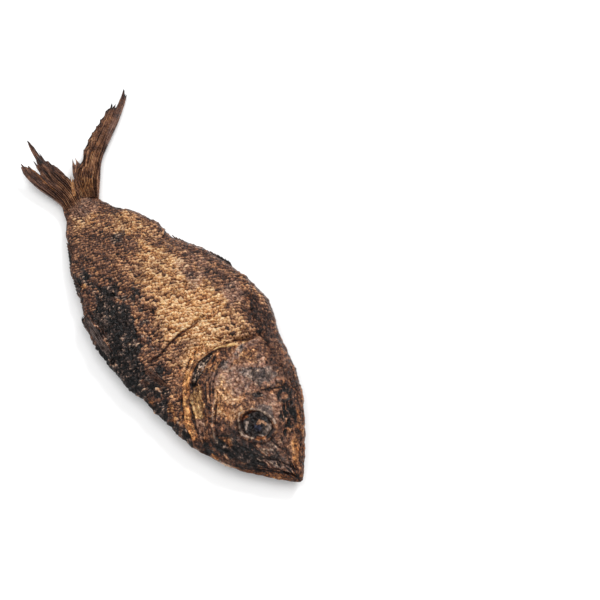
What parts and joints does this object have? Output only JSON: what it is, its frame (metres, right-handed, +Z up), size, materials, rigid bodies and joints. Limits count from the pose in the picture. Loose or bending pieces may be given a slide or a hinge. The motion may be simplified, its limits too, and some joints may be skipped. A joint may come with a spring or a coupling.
{
  "type": "smoked fish",
  "caption": "Whole hot-smoked and dried deep-bodied herring-like fish with scales, gill cover, folded fins and forked tail, lying on its side.",
  "frame": {"origin": "on the surface that the fish lies on, under the middle of its bounding box", "axes": "+X along the fish from tail to snout, +Y from belly to back, +Z up, out of the right flank that shows"},
  "size_m": [0.2496, 0.1046, 0.0244],
  "materials": {
    "smoked_skin": "oily scaly smoked skin, golden brown to charred, satin with small glossy spots"
  },
  "bodies": {
    "root": {"fish": "smoked_skin"}
  },
  "joints": []
}
